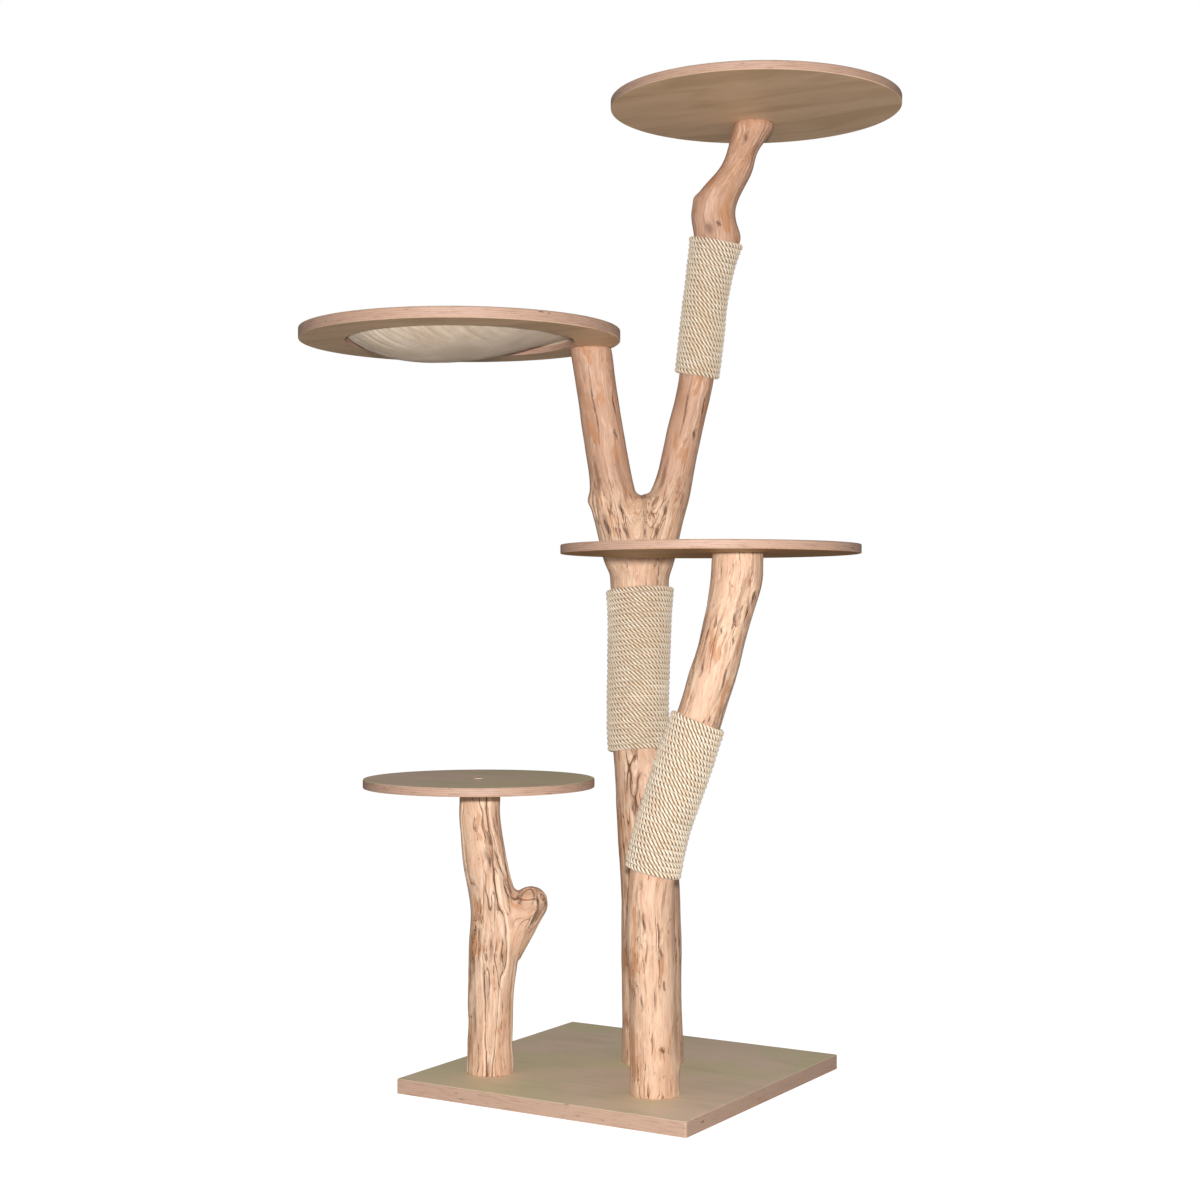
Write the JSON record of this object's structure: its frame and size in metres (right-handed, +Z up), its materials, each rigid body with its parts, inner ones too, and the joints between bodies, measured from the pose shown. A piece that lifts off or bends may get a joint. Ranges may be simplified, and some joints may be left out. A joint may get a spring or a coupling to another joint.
{
  "type": "cat tree",
  "caption": "Natural timber cat tree: peeled trunks on a square plywood base carry round shelves and a ring with a fabric hammock; rope windings serve as scratching posts.",
  "frame": {"origin": "middle of the base board's underside, on the floor", "axes": "+Z up; +X along the base's front edge, from the short trunk towards the front trunk; +Y from the front edge towards the back"},
  "size_m": [0.9929, 0.756, 1.699],
  "materials": {
    "plywood": "oiled beech plywood, matt",
    "peeled_timber": "peeled and sanded natural timber, matt",
    "sisal_rope": "twisted natural sisal",
    "hammock_cloth": "soft woven cloth, matt",
    "plug_wood": "turned beech, matt",
    "zinc_steel": "zinc plated"
  },
  "bodies": {
    "root": {"base_board": "plywood", "short_trunk": "peeled_timber", "forked_trunk": "peeled_timber", "front_trunk": "peeled_timber", "short_disc": "plywood", "middle_disc": "plywood", "top_disc": "plywood", "hammock_ring": "plywood", "rope_wrap_stem": "sisal_rope", "rope_wrap_front": "sisal_rope", "rope_wrap_branch": "sisal_rope", "rope_nails": "zinc_steel", "base_lag_screws": "zinc_steel", "base_washers": "zinc_steel", "base_side_screws": "zinc_steel", "short_disc_screw": "zinc_steel", "middle_disc_screw": "zinc_steel", "top_disc_screw": "zinc_steel", "ring_screw": "zinc_steel", "short_disc_plug": "plug_wood", "middle_disc_plug": "plug_wood", "top_disc_plug": "plug_wood", "ring_plug": "plug_wood"},
    "hammock": {"hammock_hoop": "zinc_steel", "hammock_fabric": "hammock_cloth"}
  },
  "joints": [
    {"name": "hammock_lift", "type": "slide", "parent": "root", "child": "hammock", "axis": [0, 0, 1], "range_m": [0, 0.12]}
  ]
}
